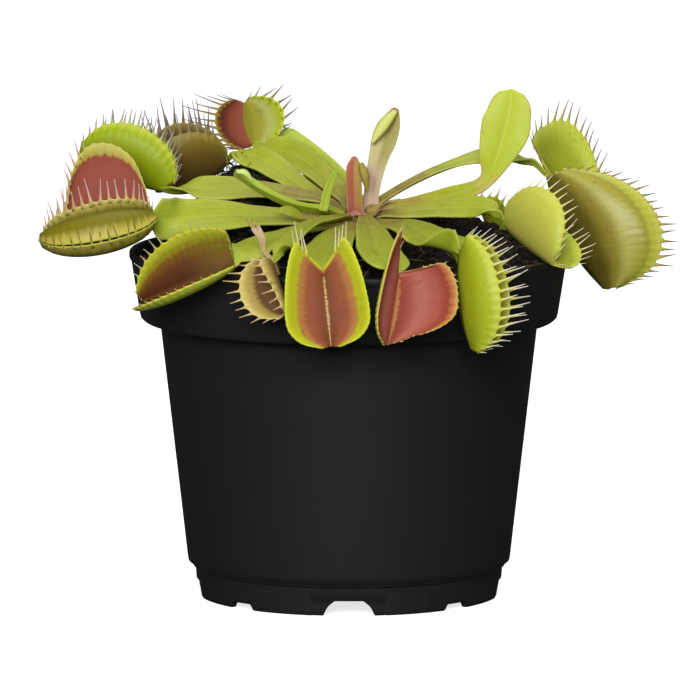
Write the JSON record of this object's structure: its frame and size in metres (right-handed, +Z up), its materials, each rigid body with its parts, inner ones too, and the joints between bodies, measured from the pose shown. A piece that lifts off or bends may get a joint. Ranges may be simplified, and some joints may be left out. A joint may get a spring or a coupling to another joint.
{
  "type": "potted venus flytrap",
  "caption": "Venus flytrap rosette with open and closed toothed traps arching over the rim of a round black nursery pot filled with dark peat; stands on a flat surface",
  "frame": {"origin": "on the standing plane under the middle of the whole plant's box, which is the pot's own axis within a millimetre", "axes": "+X to the right along the widest spread of the leaves, +Y away from the side the picture was taken from, +Z up"},
  "size_m": [0.1275, 0.1137, 0.1019],
  "materials": {
    "pot_plastic": "satin black moulded plastic",
    "peat": "rough damp peat",
    "crown_tissue": "smooth pinkish plant tissue",
    "leaf_tissue": "smooth waxy living leaf"
  },
  "bodies": {
    "root": {"pot": "pot_plastic", "soil": "peat", "crown": "crown_tissue", "leaf_left_green": "leaf_tissue", "leaf_left_red": "leaf_tissue", "leaf_left_olive": "leaf_tissue", "leaf_back_left_brown": "leaf_tissue", "leaf_back_left_tall": "leaf_tissue", "leaf_back_cut": "leaf_tissue", "leaf_front_left_open": "leaf_tissue", "leaf_front_left_small": "leaf_tissue", "leaf_front_heart": "leaf_tissue", "leaf_front_pink": "leaf_tissue", "leaf_front_right_closed": "leaf_tissue", "leaf_right_pair": "leaf_tissue", "leaf_right_big": "leaf_tissue", "leaf_right_paddle": "leaf_tissue", "leaf_upright_tall": "leaf_tissue", "leaf_upright_red": "leaf_tissue", "leaf_young_hook": "leaf_tissue", "leaf_young_spear": "leaf_tissue", "leaf_right_dark": "leaf_tissue", "leaf_back_middle": "leaf_tissue", "leaf_back_right": "leaf_tissue", "leaf_back_left_low": "leaf_tissue"}
  },
  "joints": []
}
